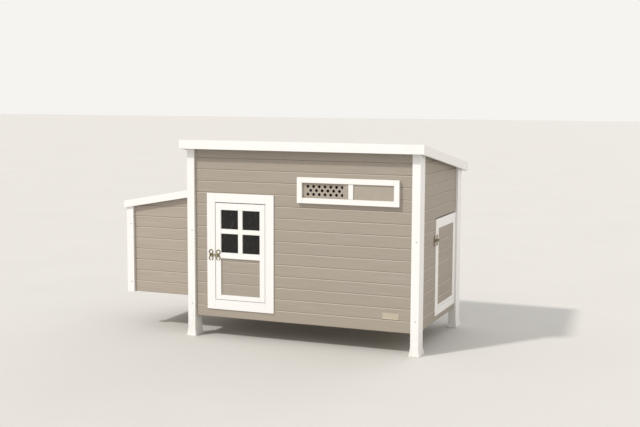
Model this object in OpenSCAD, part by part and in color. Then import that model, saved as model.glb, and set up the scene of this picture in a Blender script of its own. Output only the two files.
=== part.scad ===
// Raised chicken coop with a side nest box, built of tongue-and-groove composite boards.
// Origin: centre of the whole coop on the ground. The front faces -Y, the nest box is at -X.

/* [Cabin] */
// Length of the cabin over its corner posts
cabin_w = 1422; // [1150:1:1750]
// Depth of the cabin over its corner posts
cabin_d = 904; // [740:1:1100]
// Height of the walls' lower edge above the ground
wall_bottom = 123; // [100:1:200]
// Height of the roof's top along its front edge
roof_front_z = 1166; // [1100:1:1400]
// Height of the roof's top along its rear edge
roof_rear_z = 1020; // [960:1:1080]

/* [Boards] */
// Height that each wall board covers
board_pitch = 67; // [50:1:90]
// Thickness of the boards
board_t = 12; // [10:0.5:14]
// Bevel on the board edges that makes the V groove
bevel = 3; // [1:0.5:4]
// Seam between neighbouring boards and frame members
seam = 0.4; // [0.2:0.1:0.8]

/* [Posts and feet] */
// Width of a corner post, seen from the front
post_w = 46; // [40:1:60]
// Depth of a corner post, seen from the side
post_d = 87; // [70:1:110]
// How far the posts stand proud of the front and rear boards
proud_front = 15; // [5:1:25]
// How far the posts stand proud of the side boards
proud_side = 12; // [5:1:14]
// Height of the moulded feet
foot_h = 42; // [36:1:80]
// How far the feet spread past the post at the ground
foot_flare = 8; // [6:1:16]
// Thickness of the foot under the post
foot_floor = 6; // [4:1:10]

/* [Inner rails and floor] */
// Thickness of the inner rails
rail_t = 20; // [16:1:22]
// Height of the rails that carry the floor
sill_h = 28; // [20:1:30]
// Height of the rails under the roof
top_rail_h = 44; // [30:1:60]
// Height of the rafters
rafter_h = 36; // [28:1:44]
// Thickness of the floor
floor_t = 12; // [8:1:18]

/* [Roof] */
// Overhang of the roof past the posts at the front
roof_over_front = 42; // [20:1:80]
// Overhang of the roof past the posts at the rear
roof_over_rear = 32; // [20:1:80]
// Overhang of the roof past the posts at the sides
roof_over_side = 30; // [20:1:60]
// Thickness of the roof boards
roof_t = 14; // [12:1:20]
// Number of boards across the roof
roof_boards_n = 11; // [8:1:14]
// Height of the fascias
fascia_h = 52; // [40:1:80]
// Thickness of the fascias
fascia_t = 14; // [10:1:20]

/* [Front door] */
// Distance of the front door's casing from the left end of the cabin
casing_x = 125; // [80:1:160]
// Height of the casing above the walls' lower edge
casing_up = 49; // [40:1:90]
// Width of the casing
casing_w = 426; // [380:1:480]
// Height of the casing
casing_h = 685; // [600:1:720]
// Width of the casing's two sides and top
casing_rim = 52; // [44:1:60]
// Height of the casing's bottom member
casing_foot = 56; // [46:1:66]
// Thickness of the casing
casing_t = 24; // [20:1:30]
// How far the casing stands proud of the boards
casing_proud = 6; // [3:1:8]
// Thickness of the front door
door_t = 20; // [18:1:22]
// Width of the door's stiles
stile_w = 33; // [28:1:40]
// Height of the door's top rail
door_top = 39; // [30:1:50]
// Height of the rail between the window and the boards
door_mid = 33; // [26:1:40]
// Height of the door's bottom rail
door_foot = 27; // [24:1:40]
// Height of the boarded part of the door
door_boards_h = 218; // [160:1:240]
// Width of the window bars
bar_w = 27; // [16:1:32]
// Thickness of the window panes
pane_t = 3; // [2:0.5:5]
// Gap round a door leaf
door_gap = 3; // [2.5:0.5:4]
// Gap above a door leaf
door_gap_top = 5; // [4:0.5:7]

/* [Side door] */
// Width of the side door
side_door_w = 447; // [380:1:480]
// Height of the side door
side_door_h = 565; // [480:1:600]
// Height of the side door above the walls' lower edge
side_door_up = 33; // [26:1:50]
// Width of the side door's stiles and top rail
side_rim = 56; // [44:1:66]
// Height of the side door's bottom rail
side_foot = 42; // [34:1:52]
// Height of the bead above the bottom rail
side_bead = 15; // [10:1:20]
// How far the side door stands proud of the boards
side_proud = 3; // [1:0.5:4]

/* [Pivots] */
// Diameter of the door pivot pins
pin_d = 6; // [5:0.5:8]
// Length of a pivot pin on each side of the gap
pin_grip = 14; // [10:1:18]
// Running clearance round a pin
pin_play = 0.06; // [0.02:0.01:0.1]

/* [Vent] */
// Distance of the vent's frame from the right end of the cabin
vent_x = 118; // [80:1:180]
// Height of the vent's lower edge above the walls' lower edge
vent_up = 699; // [640:1:740]
// Width of the vent's frame
vent_w = 603; // [520:1:640]
// Height of the vent's frame
vent_h = 146; // [110:1:170]
// Width of the frame's members
vent_rim = 30; // [24:1:36]
// Thickness of the frame
vent_t = 20; // [18:1:26]
// Length of the sliding shutter
shutter_w = 296; // [270:1:320]
// Thickness of the sliding shutter
shutter_t = 4; // [3:0.5:5]
// Thickness of the perforated grille
grille_t = 3; // [2:0.5:4]
// Diameter of the grille's holes
vent_hole = 17; // [10:0.5:18]
// Distance between holes in a row
vent_pitch = 34.4; // [30:0.2:40]
// Distance between the rows of holes
vent_row = 22; // [20:0.5:26]
// Number of holes in the top and bottom rows
vent_cols = 7; // [4:1:7]

/* [Nest box] */
// Length of the nest box past the cabin's posts
nest_l = 481; // [400:1:560]
// Depth of the nest box over its posts
nest_d = 690; // [620:1:720]
// Height of the nest box's lower edge above the walls' lower edge
nest_up = 94; // [60:1:140]
// Side of a nest post
nest_post = 46; // [36:1:56]
// Height of the lid edging's lower edge at the cabin, above the walls' lower edge
lid_up_in = 703; // [640:1:715]
// Height of the lid edging's lower edge at the outer end, above the walls' lower edge
lid_up_out = 615; // [560:1:630]
// Height of the lid's edging
lid_edge_h = 42; // [34:1:50]
// Thickness of the lid's edging
lid_edge_t = 10; // [8:1:14]
// Thickness of the lid
lid_t = 14; // [12:1:18]
// Running clearance between the lid's edging and the nest box
lid_gap = 1.5; // [1:0.5:3]
// Width of each way from the cabin into a nest
nest_way_w = 230; // [200:1:250]
// Height of each way into a nest
nest_way_h = 260; // [220:1:300]
// Height of the lip below each way into a nest
nest_lip = 70; // [50:1:100]

/* [Roosts] */
// Distance of the first roost from the left end of the cabin
roost_x = 760; // [700:1:800]
// Distance between the two roosts
roost_gap = 300; // [240:1:340]
// Height of the roosts above the floor
roost_up = 220; // [180:1:300]
// Width of a roost
roost_w = 44; // [36:1:50]
// Height of a roost
roost_h = 32; // [26:1:40]
// Thickness of a roost's cup
cup_t = 4; // [3:1:6]
// Length of a roost's cup
cup_l = 36; // [24:1:40]

/* [Hardware] */
// Height of a latch plate
latch_h = 66; // [60:1:76]
// Width of a latch plate
latch_w = 29; // [28:1:32]
// Thickness of a latch plate
latch_t = 2; // [1.5:0.5:3]
// Distance between the latch's pivot and its peg
latch_reach = 46; // [44:1:54]
// Thickness of the latch arm
arm_t = 4; // [3:0.5:5]
// Height of the front latch above the walls' lower edge
latch_up = 370; // [350:1:400]
// Height of the side latch above the walls' lower edge
side_latch_up = 477; // [400:1:500]
// Width of the blank plate on the front
badge_w = 96; // [70:1:110]
// Height of the blank plate
badge_h = 35; // [25:1:40]
// Height of the blank plate above the walls' lower edge
badge_up = 72; // [68:1:90]
// Diameter of the frame screws' heads
screw_d = 10; // [8:0.5:14]

/* [Hidden] */
$fn = 48;
white = [0.95, 0.94, 0.91];
cream = [0.90, 0.86, 0.78];
taupe = [0.64, 0.59, 0.51];
steel = [0.70, 0.69, 0.66];
brass = [0.66, 0.60, 0.42];

// overall size and the planes that the pieces share
lid_over = lid_gap + lid_edge_t;
total_l = lid_over + nest_l + cabin_w + roof_over_side;
total_d = roof_over_front + cabin_d + roof_over_rear;
x_r = total_l / 2 - roof_over_side;
x_l = x_r - cabin_w;
x_n = x_l - nest_l;
y_f = roof_over_front - total_d / 2;
y_b = y_f + cabin_d;
wall_f = y_f + proud_front;
wall_b = y_b - proud_front;
wall_r = x_r - proud_side;
wall_l = x_l + proud_side;

// how far a cutting shape reaches past what it cuts
cut = 1;

// the roof's slope
roof_f = -total_d / 2;
roof_b = total_d / 2;
roof_fall = (roof_front_z - roof_rear_z) / total_d;
roof_a = atan(roof_fall);
roof_lip = 1;
seat = 0.2;
roof_v = roof_t / cos(roof_a) + roof_lip;
function roof_z(y) = roof_front_z - (y - roof_f) * roof_fall;
function under_z(y) = roof_z(y) - roof_v - seat;

// the tongue and groove of a board
tongue_t = 4;
tongue_h = 6;
tongue_play = 0.3;
tongue_room = 0.4;

// floor
sill_z = wall_bottom + 1;
floor_z = sill_z + sill_h;
floor_top = floor_z + floor_t;
floor_play = 2;

// front door
case_l = x_l + casing_x;
case_z = wall_bottom + casing_up;
case_y = wall_f - casing_proud;
leaf_l = case_l + casing_rim + door_gap;
leaf_w = casing_w - 2 * casing_rim - 2 * door_gap;
leaf_z = case_z + casing_foot + door_gap;
leaf_h = casing_h - casing_rim - casing_foot - door_gap - door_gap_top;
leaf_in = 2;
leaf_y = case_y + leaf_in;
leaf_round = 4;
bars_in = 1;
bars_back = 2;
door_boards_back = 1;
pane_h = (leaf_h - door_top - door_mid - door_foot - door_boards_h - bar_w) / 2;
pane_w = (leaf_w - 2 * stile_w - bar_w) / 2;
window_z = leaf_z + leaf_h - door_top - 2 * pane_h - bar_w;
door_pin = [leaf_l + leaf_w - door_t / 2, leaf_y + door_t / 2];

// side door, in the plane of the boards
side_t = board_t + side_proud;
side_z = wall_bottom + side_door_up;
side_x = wall_r + side_proud;
side_door_room = 0.5;
side_far = y_b - post_d - door_gap - side_door_room;
side_near = side_far - side_door_w;
side_pin = [side_x - side_t / 2, side_far - side_t / 2];
bead_gap = 2;
block_w = 30;
block_h = 22;

// vent
vent_r = x_r - vent_x;
vent_l = vent_r - vent_w;
vent_z = wall_bottom + vent_up;
vent_y = wall_f - vent_t;
vent_in_l = vent_l + vent_rim;
vent_in_w = vent_w - 2 * vent_rim;
vent_in_z = vent_z + vent_rim;
vent_in_h = vent_h - 2 * vent_rim;
run_depth = 5;
run_play = 0.4;
shutter_in = 8;
grille_back = 3;
shutter_y = vent_y + shutter_in;
grille_y = wall_f - grille_t - grille_back;
hole_in = 32;
hole_x = vent_in_l + hole_in;
hole_side = 20;
hole_ledge = 6;
shutter_end = 1;
shutter_x = vent_in_l + vent_in_w - shutter_w - shutter_end;
pull_w = 28;
pull_in = 32;
pull_t = 5;
pull_space = 1.5;

// nest box
nest_z = wall_bottom + nest_up;
nest_f = (y_f + y_b - nest_d) / 2;
nest_b = nest_f + nest_d;
nest_wall_f = nest_f + proud_front;
nest_wall_b = nest_b - proud_front;
nest_wall_l = x_n + proud_side;
lid_fall = (lid_up_in - lid_up_out) / (wall_l - x_n);
lid_a = atan(lid_fall);
lid_v = lid_t / cos(lid_a);
lid_space = 0.4;
hinge_gap = 6;
lid_x = wall_l - hinge_gap;
function lid_low(x) = wall_bottom + lid_up_in - (wall_l - x) * lid_fall;
function lid_high(x) = lid_low(x) + lid_edge_h;
function nest_top(x) = lid_high(x) - lid_v - lid_space;
nest_post_drop = 4;
nest_floor_up = 4;
nest_floor_z = nest_z + nest_floor_up;
nest_floor_top = nest_floor_z + floor_t;
nest_mid = (nest_f + nest_b) / 2;
divider_t = 12;
divider_drop = 30;

// lid hinges
knuckle_r = 5;
lid_pin_r = 2.5;
hinge_w = 60;
hinge_flap = 34;
hinge_in = 110;
flap_bend = 3;
flap_t = 2;
knuckle_sink = 1.5;
hinge_z = lid_high(lid_x) + flap_t + knuckle_r - knuckle_sink;
flap_z = hinge_z + knuckle_r + seam;
hinge_spots = [nest_f + hinge_in, nest_b - hinge_in];

// screws in the posts: sideways offset from the post's outer edge, and heights
screw_in = 30;
screw_off = 5;
right_screw_x = x_r - post_w / 2 + screw_off;
screw_zs = [wall_bottom + 74, wall_bottom + 512];
nest_screw_zs = [nest_z + 60, nest_z + 420];
screw_shank = 4;
screw_len = 14;
screw_head = 2;

// latches: each arm turns on a stud on the door and drops over a peg beside the door
loop_band = 5.5;
loop_mouth = 9;
plate_boss_r = 8;
peg_d = 5;
peg_boss_d = 11;
peg_play = 0.8;
stud_d = 6;
stud_boss_d = 13;
stud_head_d = 12;
stud_head_t = 2;
boss_gap = 0.4;
arm_gap = 3;
arm_end_r = 8.5;
thumb_d = 7;
thumb_l = 7;
stud_l = latch_t + arm_gap + arm_t + 0.5;
latch_x = leaf_l + stile_w / 2;
latch_z = wall_bottom + latch_up;
keeper_out = 24;
side_latch_y = side_near - keeper_out + latch_reach;
side_latch_z = wall_bottom + side_latch_up;

// blank plate: its thickness, its raised rim and how deep the field is sunk
badge_t = 2;
badge_rim = 3;
badge_sunk = 0.5;

// fascias
fascia_l = x_l - roof_over_side;
fascia_r = x_r + roof_over_side;
sloped = function(y) roof_z(y) - fascia_h;
front_level = function(y) roof_z(roof_f) - fascia_h;
rear_level = function(y) roof_z(roof_b) - fascia_h;

// ways into the nests
nest_way_z = nest_floor_top + nest_lip;
nest_half = (nest_wall_b - nest_wall_f - 2 * board_t - divider_t) / 2;
nest_centres = [for (s = [-1, 1]) nest_mid + s * (nest_half + divider_t) / 2];

// lid outline and the knuckles of its hinges, as spans of the hinge's width
lid_l = x_n - lid_over;
lid_f = nest_f - lid_over;
lid_b = nest_b + lid_over;
wall_knuckles = [[0, 0.2], [0.4, 0.6], [0.8, 1]];
lid_knuckles = [[0.2, 0.4], [0.6, 0.8]];
knuckle_play = 0.3;

// blocks that the side door's pins turn in
block_zs = [side_z - door_gap - block_h, side_z + side_door_h + door_gap_top];

// roosts
roost_z = floor_top + roost_up;
roost_xs = [x_l + roost_x, x_l + roost_x + roost_gap];
roost_y0 = wall_f + board_t;
roost_y1 = wall_b - board_t;

// ---- shared shapes ----

// A box given by its lowest and highest corners
module block(low, high) {
    translate(low) cube(high - low);
}

// Section of a board: the first axis runs into the wall, the second up the wall
module board_section(pitch, t) {
    top = pitch - seam;
    mid = (t + bevel) / 2;
    t0 = mid - tongue_t / 2;
    t1 = mid + tongue_t / 2;
    slot = tongue_h + tongue_room;
    polygon([[0, bevel], [bevel, 0], [t0 - tongue_play, 0], [t0 - tongue_play, slot],
        [t1 + tongue_play, slot], [t1 + tongue_play, 0], [t, 0], [t, top],
        [t1, top], [t1, top + tongue_h], [t0, top + tongue_h], [t0, top],
        [bevel, top], [0, top - bevel]]);
}

// A board along +X, its face towards -Y, standing on z = 0
module board(len, pitch = board_pitch, t = board_t) {
    rotate([90, 0, 90]) linear_extrude(len) board_section(pitch, t);
}

// Boards that fill a rectangle of the wall plane, in step with the courses above z = base
module courses(x0, x1, z0, z1, base) {
    first = floor((z0 - base) / board_pitch + 0.001);
    last = ceil((z1 - base) / board_pitch - 0.001) - 1;
    intersection() {
        union() for (k = [first:last])
            translate([x0, 0, base + k * board_pitch]) board(x1 - x0);
        block([x0, -cut, z0], [x1, board_t + cut, z1]);
    }
}

// The space below the roof boards
module under_roof() {
    translate([-total_l, 0, 0]) rotate([90, 0, 90]) linear_extrude(2 * total_l)
        polygon([[roof_f, 0], [roof_b, 0], [roof_b, under_z(roof_b)], [roof_f, under_z(roof_f)]]);
}

// The space below the nest lid
module under_lid() {
    translate([0, nest_b + 1, 0]) rotate([90, 0, 0]) linear_extrude(nest_d + 2)
        polygon([[x_n - 1, 0], [wall_l, 0], [wall_l, nest_top(wall_l)], [x_n - 1, nest_top(x_n - 1)]]);
}

// Latch plate in the X-Z plane, its face towards -Y: two loops on a boss, the lower one open below
module loop_plate() {
    loop_r = latch_w / 2;
    loop_z = latch_h / 2 - loop_r;
    rotate([90, 0, 0]) linear_extrude(latch_t) {
        difference() {
            for (end = [-1, 1]) translate([0, end * loop_z]) circle(loop_r);
            for (end = [-1, 1]) translate([0, end * loop_z]) circle(loop_r - loop_band);
            translate([-loop_mouth / 2, -latch_h / 2 - cut]) square([loop_mouth, loop_r]);
        }
        circle(plate_boss_r);
    }
}

// Plate with a peg that the arm drops over, centred on the peg
module latch_keeper(peg_l) {
    loop_plate();
    rotate([90, 0, 0]) cylinder(h = peg_l, d = peg_d);
    rotate([90, 0, 0]) cylinder(h = latch_t + boss_gap, d = peg_boss_d);
}

// Plate with a headed stud that the arm turns on, centred on the stud
module latch_plate() {
    loop_plate();
    rotate([90, 0, 0]) cylinder(h = latch_t + arm_gap - boss_gap, d = stud_boss_d);
    rotate([90, 0, 0]) cylinder(h = stud_l, d = stud_d);
    translate([0, -stud_l, 0]) rotate([90, 0, 0]) cylinder(h = stud_head_t, d = stud_head_d);
}

// Arm that turns on the stud at the origin and reaches along -X to its peg
module latch_arm() {
    translate([0, -latch_t - arm_gap, 0]) rotate([90, 0, 0]) linear_extrude(arm_t) difference() {
        union() {
            circle(arm_end_r - 0.5);
            translate([-latch_reach - 6, -3.5]) square([latch_reach + 6, 9]);
            translate([-latch_reach, 1]) circle(arm_end_r);
        }
        circle(stud_d / 2 + pin_play);
        translate([-latch_reach, 0]) circle(peg_d / 2 + peg_play);
        translate([-latch_reach - peg_d / 2 - peg_play, -12]) square([peg_d + 2 * peg_play, 12]);
    }
    translate([-latch_reach + 2, -latch_t - arm_gap - arm_t, 6]) rotate([90, 0, 0])
        cylinder(h = thumb_l, d = thumb_d);
}

// ---- posts and feet ----

// Corner post between two X values and two Y values, with holes for its screws
module post(x0, y0, screw_x, screw_y, out) {
    color(white) difference() {
        intersection() {
            block([x0, y0, foot_floor], [x0 + post_w, y0 + post_d, roof_front_z]);
            under_roof();
        }
        for (z = screw_zs) translate([screw_x, screw_y, z]) rotate([-90 * out, 0, 0])
            translate([0, 0, -cut]) cylinder(h = screw_len + cut, d = screw_shank);
    }
}
module post_front_left() { post(x_l, y_f, x_l + screw_in, y_f, 1); }
module post_front_right() { post(x_r - post_w, y_f, right_screw_x, y_f, 1); }
module post_rear_left() { post(x_l, y_b - post_d, x_l + screw_in, y_b, -1); }
module post_rear_right() { post(x_r - post_w, y_b - post_d, right_screw_x, y_b, -1); }

// Section of a foot along one side of the post: a plain rim on the ground, then a hollow curve
module foot_section(side) {
    wall = 2;
    rim = 4;
    steps = 8;
    out = [for (i = [0:steps]) wall + (foot_flare - wall) * pow(1 - i / steps, 2)];
    up = [for (i = [0:steps]) rim + (foot_h - rim) * i / steps];
    polygon(concat([[-foot_flare, 0], [side + foot_flare, 0]],
        [for (i = [0:steps]) [side + out[i], up[i]]],
        [for (i = [steps:-1:0]) [-out[i], up[i]]]));
}

// Flared foot that a post stands in, with the post's corner at x0, y0
module foot(x0, y0) {
    color(white) translate([x0, y0, 0]) difference() {
        intersection() {
            translate([0, post_d + foot_flare, 0]) rotate([90, 0, 0])
                linear_extrude(post_d + 2 * foot_flare) foot_section(post_w);
            translate([-foot_flare, 0, 0]) rotate([90, 0, 90])
                linear_extrude(post_w + 2 * foot_flare) foot_section(post_d);
        }
        block([-seat, -seat, foot_floor], [post_w + seat, post_d + seat, foot_h + cut]);
    }
}
module foot_front_left() { foot(x_l, y_f); }
module foot_front_right() { foot(x_r - post_w, y_f); }
module foot_rear_left() { foot(x_l, y_b - post_d); }
module foot_rear_right() { foot(x_r - post_w, y_b - post_d); }

// ---- walls ----

module front_boards() {
    color(taupe) difference() {
        intersection() {
            translate([0, wall_f, 0])
                courses(x_l + post_w, x_r - post_w, wall_bottom, roof_front_z, wall_bottom);
            under_roof();
        }
        block([case_l - seat, wall_f - cut, case_z - seat],
            [case_l + casing_w + seat, wall_f + board_t + cut, case_z + casing_h + seat]);
        block([hole_x - hole_side, wall_f - cut, vent_in_z + hole_ledge],
            [hole_x + vent_cols * vent_pitch, wall_f + board_t + cut, vent_in_z + vent_in_h - hole_ledge]);
    }
}

module rear_boards() {
    len = cabin_w - 2 * post_w;
    color(taupe) intersection() {
        translate([x_r - post_w, wall_b, 0]) rotate([0, 0, 180])
            courses(0, len, wall_bottom, roof_front_z, wall_bottom);
        under_roof();
    }
}

module right_boards() {
    len = cabin_d - 2 * post_d;
    color(taupe) difference() {
        intersection() {
            translate([wall_r, y_f + post_d, 0]) rotate([0, 0, 90])
                courses(0, len, wall_bottom, roof_front_z, wall_bottom);
            under_roof();
        }
        block([wall_r - board_t - cut, side_near - door_gap, side_z - door_gap],
            [wall_r + cut, y_b, side_z + side_door_h + door_gap_top]);
        for (z = block_zs) pivot_block_space(z, seat);
    }
}

module left_boards() {
    len = cabin_d - 2 * post_d;
    color(taupe) difference() {
        intersection() {
            translate([wall_l, y_b - post_d, 0]) rotate([0, 0, -90])
                courses(0, len, wall_bottom, roof_front_z, wall_bottom);
            under_roof();
        }
        for (y = nest_centres) block([wall_l - cut, y - nest_way_w / 2, nest_way_z],
            [wall_l + board_t + cut, y + nest_way_w / 2, nest_way_z + nest_way_h]);
    }
}

// ---- inner rails, floor and roof ----

module sill_rail_front() {
    color(cream) block([x_l + post_w, wall_f + board_t, sill_z],
        [x_r - post_w, wall_f + board_t + rail_t, floor_z]);
}
module sill_rail_rear() {
    color(cream) block([x_l + post_w, wall_b - board_t - rail_t, sill_z],
        [x_r - post_w, wall_b - board_t, floor_z]);
}
module sill_rail_left() {
    color(cream) block([wall_l + board_t, y_f + post_d, sill_z],
        [wall_l + board_t + rail_t, y_b - post_d, floor_z]);
}
module sill_rail_right() {
    color(cream) block([wall_r - board_t - rail_t, y_f + post_d, sill_z],
        [wall_r - board_t, y_b - post_d, floor_z]);
}

module top_rails() {
    color(cream) intersection() {
        for (y = [wall_f + board_t, wall_b - board_t - rail_t])
            block([x_l + post_w, y, under_z(y) - top_rail_h], [x_r - post_w, y + rail_t, roof_front_z]);
        under_roof();
    }
}

module floor_panel() {
    x0 = wall_l + board_t + floor_play;
    x1 = wall_r - board_t - floor_play;
    y0 = wall_f + board_t + floor_play;
    y1 = wall_b - board_t - floor_play;
    color(cream) translate([0, 0, floor_z]) linear_extrude(floor_t) difference() {
        translate([x0, y0]) square([x1 - x0, y1 - y0]);
        for (x = [x_l, x_r - post_w]) for (y = [y_f, y_b - post_d])
            translate([x - floor_play, y - floor_play])
                square([post_w + 2 * floor_play, post_d + 2 * floor_play]);
    }
}

module floor_bearers() {
    y0 = wall_f + board_t + rail_t;
    y1 = wall_b - board_t - rail_t;
    color(cream) for (k = [1, 2]) {
        x = x_l + k * cabin_w / 3;
        block([x - rail_t / 2, y0, sill_z], [x + rail_t / 2, y1, floor_z]);
    }
}

module roof_rafters() {
    y0 = wall_f + board_t + rail_t;
    y1 = wall_b - board_t - rail_t;
    color(cream) for (k = [1, 2, 3]) {
        x = x_l + k * cabin_w / 4;
        translate([x - rail_t / 2, 0, 0]) rotate([90, 0, 90]) linear_extrude(rail_t)
            polygon([[y0, under_z(y0) - rafter_h], [y1, under_z(y1) - rafter_h],
                [y1, under_z(y1)], [y0, under_z(y0)]]);
    }
}

module roof_boards() {
    x0 = x_l - roof_over_side + fascia_t;
    x1 = x_r + roof_over_side - fascia_t;
    pitch = (x1 - x0) / roof_boards_n;
    color(white) intersection() {
        translate([x1, roof_f, roof_front_z - roof_lip]) rotate([-roof_a, 0, 0])
            for (k = [0:roof_boards_n - 1]) translate([-k * pitch, -roof_t, 0])
                rotate([-90, 0, 90]) board(total_d + 4 * roof_t, pitch, roof_t);
        block([x0 + seat, roof_f + fascia_t + seat, 0], [x1 - seat, roof_b - fascia_t - seat, roof_front_z]);
    }
}

// Fascia between two Y values, following the roof's slope
module fascia(x0, x1, y0, y1, base) {
    color(white) translate([x0, 0, 0]) rotate([90, 0, 90]) linear_extrude(x1 - x0)
        polygon([[y0, base(y0)], [y1, base(y1)], [y1, roof_z(y1)], [y0, roof_z(y0)]]);
}
module roof_fascia_front() { fascia(fascia_l, fascia_r, roof_f, roof_f + fascia_t, front_level); }
module roof_fascia_rear() { fascia(fascia_l, fascia_r, roof_b - fascia_t, roof_b, rear_level); }
module roof_fascia_left() {
    fascia(fascia_l, fascia_l + fascia_t, roof_f + fascia_t + seat, roof_b - fascia_t - seat, sloped);
}
module roof_fascia_right() {
    fascia(fascia_r - fascia_t, fascia_r, roof_f + fascia_t + seat, roof_b - fascia_t - seat, sloped);
}

// ---- front door ----

module front_door_casing() {
    y1 = case_y + casing_t;
    in_l = case_l + casing_rim;
    in_r = case_l + casing_w - casing_rim;
    top = case_z + casing_h;
    color(white) {
        block([case_l, case_y, case_z], [in_l - seam, y1, top]);
        block([in_r + seam, case_y, case_z], [case_l + casing_w, y1, top]);
        difference() {
            block([in_l, case_y, top - casing_rim], [in_r, y1, top]);
            pin_hole(door_pin, top - casing_rim - 1);
        }
        difference() {
            block([in_l, case_y, case_z], [in_r, y1, case_z + casing_foot]);
            pin_hole(door_pin, case_z + casing_foot - pin_grip - 1);
        }
    }
}

// Upright running hole for a pivot pin, one millimetre longer than the pin's grip at each end
module pin_hole(at, z) {
    translate([at[0], at[1], z]) cylinder(h = pin_grip + 2, d = pin_d + 2 * pin_play);
}

// Section of a stile whose hinge edge is rounded, x from 0 to w, the edge at x = w
module hinge_stile_section(w, t, r) {
    square([w - r, t]);
    translate([0, r]) square([w, t - 2 * r]);
    for (y = [r, t - r]) translate([w - r, y]) circle(r);
}

module front_door_frame() {
    in_l = leaf_l + stile_w;
    in_r = leaf_l + leaf_w - stile_w;
    top = leaf_z + leaf_h;
    y1 = leaf_y + door_t;
    color(white) {
        block([leaf_l, leaf_y, leaf_z], [in_l, y1, top]);
        difference() {
            translate([in_r, leaf_y, leaf_z]) linear_extrude(leaf_h)
                hinge_stile_section(stile_w, door_t, leaf_round);
            for (z = [leaf_z - 1, top - pin_grip]) translate([door_pin[0], door_pin[1], z])
                cylinder(h = pin_grip + 1, d = pin_d);
        }
        for (z = [[top - door_top, top], [window_z - door_mid, window_z], [leaf_z, leaf_z + door_foot]])
            block([in_l + seam, leaf_y, z[0]], [in_r - seam, y1, z[1]]);
    }
}

module front_door_window_bars() {
    x0 = leaf_l + stile_w + seat;
    x1 = leaf_l + leaf_w - stile_w - seat;
    xm = (x0 + x1) / 2;
    z0 = window_z + seat;
    z1 = window_z + 2 * pane_h + bar_w - seat;
    zm = (z0 + z1) / 2;
    color(white) {
        block([xm - bar_w / 2, leaf_y + bars_in, z0], [xm + bar_w / 2, leaf_y + door_t - bars_back, z1]);
        block([x0, leaf_y + bars_in, zm - bar_w / 2], [x1, leaf_y + door_t - bars_back, zm + bar_w / 2]);
    }
}

module front_door_panes() {
    y0 = leaf_y + door_t / 2;
    color([0.30, 0.32, 0.30, 0.5]) for (i = [0, 1]) for (k = [0, 1]) {
        x = leaf_l + stile_w + i * (pane_w + bar_w);
        z = window_z + k * (pane_h + bar_w);
        block([x + seam, y0, z + seam], [x + pane_w - seam, y0 + pane_t, z + pane_h - seam]);
    }
}

module front_door_boards() {
    color(taupe) translate([0, leaf_y + door_t - board_t - door_boards_back, 0])
        courses(leaf_l + stile_w + seam, leaf_l + leaf_w - stile_w - seam,
            leaf_z + door_foot + seam, window_z - door_mid - seam, wall_bottom);
}

// Pivot pins that stand out of a leaf's top and bottom
module pivot_pins(at, z0, z1, gap0, gap1) {
    color(steel) {
        translate([at[0], at[1], z0 - gap0 - pin_grip + 1]) cylinder(h = 2 * pin_grip + gap0 - 1, d = pin_d);
        translate([at[0], at[1], z1 - pin_grip]) cylinder(h = 2 * pin_grip + gap1 - 1, d = pin_d);
    }
}
module front_door_pins() { pivot_pins(door_pin, leaf_z, leaf_z + leaf_h, door_gap, door_gap_top); }

module front_latch_keeper() {
    color(brass) translate([latch_x - latch_reach, case_y, latch_z])
        latch_keeper(stud_l + case_y - leaf_y);
}
module front_latch_plate() { color(brass) translate([latch_x, leaf_y, latch_z]) latch_plate(); }
module front_latch_arm() { color(brass) translate([latch_x, leaf_y, latch_z]) latch_arm(); }

// ---- side door ----

module side_door_frame() {
    top = side_z + side_door_h;
    near = side_near + side_rim;
    far = side_far - side_rim;
    bead_z = side_z + side_foot + bead_gap;
    color(cream) {
        block([side_x - side_t, side_near, side_z], [side_x, near, top]);
        difference() {
            translate([side_x, far, side_z]) rotate([0, 0, 90]) linear_extrude(side_door_h)
                hinge_stile_section(side_rim, side_t, leaf_round);
            for (z = [side_z - 1, top - pin_grip]) translate([side_pin[0], side_pin[1], z])
                cylinder(h = pin_grip + 1, d = pin_d);
        }
        for (z = [[side_z, side_z + side_foot], [bead_z, bead_z + side_bead],
            [top - side_rim, top]])
            block([side_x - side_t, near + seam, z[0]], [side_x, far - seam, z[1]]);
    }
}

module side_door_boards() {
    z0 = side_z + side_foot + bead_gap + side_bead + seam;
    z1 = side_z + side_door_h - side_rim - seam;
    color(taupe) translate([side_x - side_t + board_t, side_near + side_rim + seam, 0]) rotate([0, 0, 90])
        courses(0, side_door_w - 2 * side_rim - 2 * seam, z0, z1, wall_bottom);
}

// Space of a moulded block that a side door's pin turns in, grown where it is cut out of the boards
module pivot_block_space(z, grow) {
    past = grow > 0 ? cut : 0;
    block([wall_r - board_t - past, y_b - post_d - block_w - grow, z - grow],
        [wall_r + past, y_b - post_d + grow, z + block_h + grow]);
}
module side_door_pivot_blocks() {
    color(taupe) difference() {
        for (z = block_zs) pivot_block_space(z, 0);
        pin_hole(side_pin, block_zs[0] + block_h - pin_grip - 1);
        pin_hole(side_pin, block_zs[1] - 1);
    }
}
module side_door_pins() { pivot_pins(side_pin, side_z, side_z + side_door_h, door_gap, door_gap_top); }

module on_side(x, y) {
    translate([x, y, side_latch_z]) rotate([0, 0, 90]) children();
}
module side_latch_keeper() {
    color(brass) on_side(wall_r, side_latch_y - latch_reach) latch_keeper(stud_l + side_x - wall_r);
}
module side_latch_plate() { color(brass) on_side(side_x, side_latch_y) latch_plate(); }
module side_latch_arm() { color(brass) on_side(side_x, side_latch_y) latch_arm(); }

// ---- vent ----

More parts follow.
